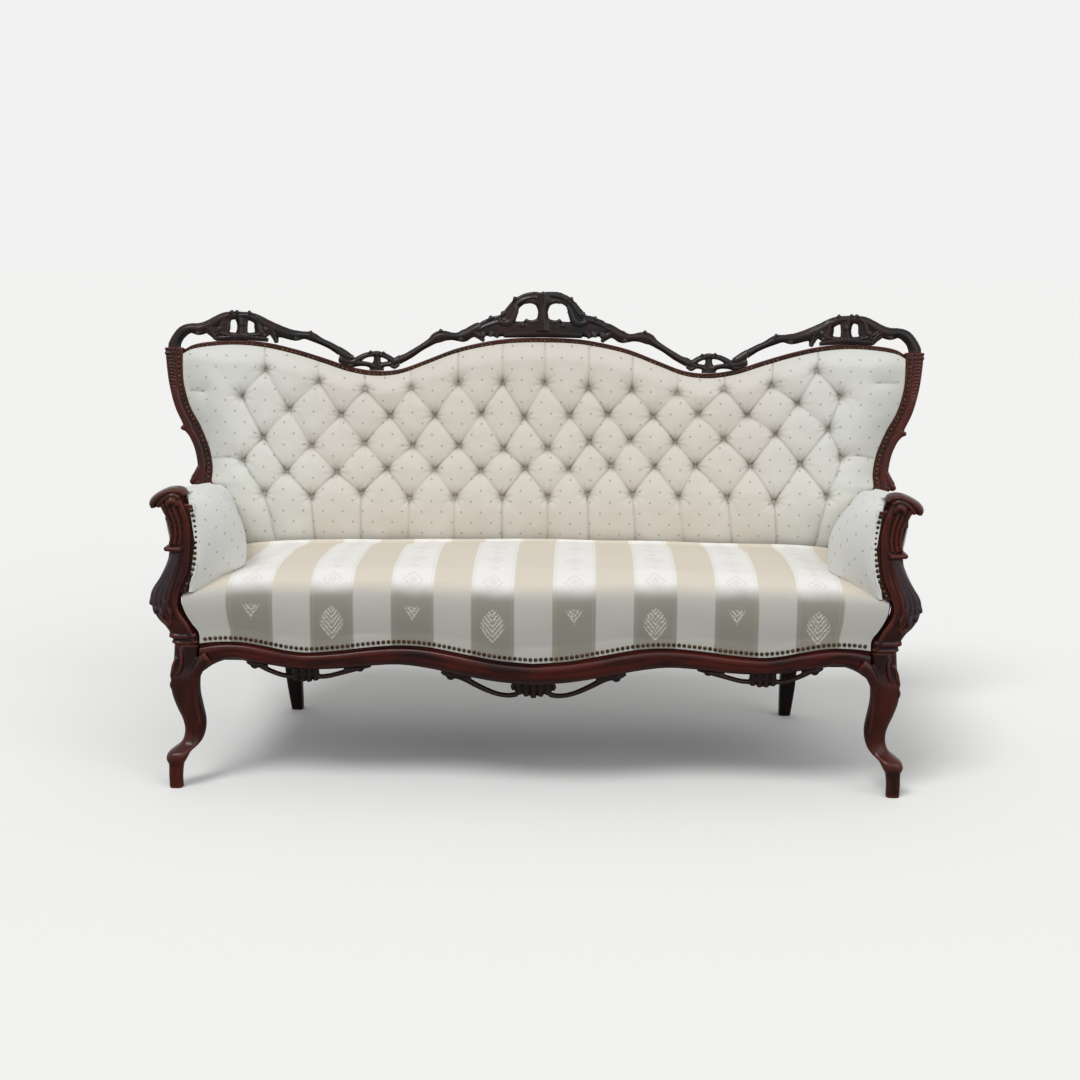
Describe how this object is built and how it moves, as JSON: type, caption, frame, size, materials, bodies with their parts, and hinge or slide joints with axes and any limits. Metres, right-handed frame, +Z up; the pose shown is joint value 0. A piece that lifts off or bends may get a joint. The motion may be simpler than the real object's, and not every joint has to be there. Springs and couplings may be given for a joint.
{
  "type": "sofa",
  "caption": "Long sofa with a triple-arched buttoned back, pierced carved crest, scrolled wooden arm fronts, padded arms, striped sprung seat and cabriole front legs.",
  "frame": {"origin": "on the floor, under the middle of the sofa's width and depth", "axes": "+Z up, +X to the right as seen from the front, the front of the seat faces -Y"},
  "size_m": [1.94, 0.756, 1.1],
  "materials": {
    "show_wood": "satin",
    "carved_wood": "satin",
    "frame_wood": "raw",
    "linen": "coarse weave",
    "dotted_cloth": "matte",
    "striped_cloth": "satin",
    "dust_cloth": "matte",
    "nail_metal": "antique",
    "steel": "plain"
  },
  "bodies": {
    "root": {"front_leg_left": "show_wood", "front_leg_right": "show_wood", "rear_leg_left": "carved_wood", "rear_leg_right": "carved_wood", "front_seat_rail": "show_wood", "back_seat_rail": "frame_wood", "side_seat_rail_left": "frame_wood", "side_seat_rail_right": "frame_wood", "seat_braces": "frame_wood", "corner_blocks": "frame_wood", "corner_block_screws": "steel", "seat_webbing": "linen", "seat_springs": "steel", "seat_hessian": "linen", "seat_pad": "striped_cloth", "dust_cover": "dust_cloth", "arm_front_left": "show_wood", "arm_front_right": "show_wood", "arm_rail_left": "frame_wood", "arm_rail_right": "frame_wood", "arm_lining_left": "linen", "arm_lining_right": "linen", "arm_pad_left": "dotted_cloth", "arm_pad_right": "dotted_cloth", "arm_outside_cover_left": "dotted_cloth", "arm_outside_cover_right": "dotted_cloth", "back_stile_left": "show_wood", "back_stile_right": "show_wood", "back_top_rail": "show_wood", "back_low_rail": "frame_wood", "back_struts": "frame_wood", "back_webbing": "linen", "back_hessian": "linen", "back_pad": "dotted_cloth", "back_buttons": "dotted_cloth", "back_outside_cover": "dotted_cloth", "crest_centre": "carved_wood", "crest_shoulder_left": "carved_wood", "crest_shoulder_right": "carved_wood", "crest_valley_left": "carved_wood", "crest_valley_right": "carved_wood", "apron_centre": "carved_wood", "apron_left": "carved_wood", "apron_right": "carved_wood", "seat_nails": "nail_metal", "back_nails": "nail_metal", "arm_nails_left": "nail_metal", "arm_nails_right": "nail_metal"}
  },
  "joints": []
}
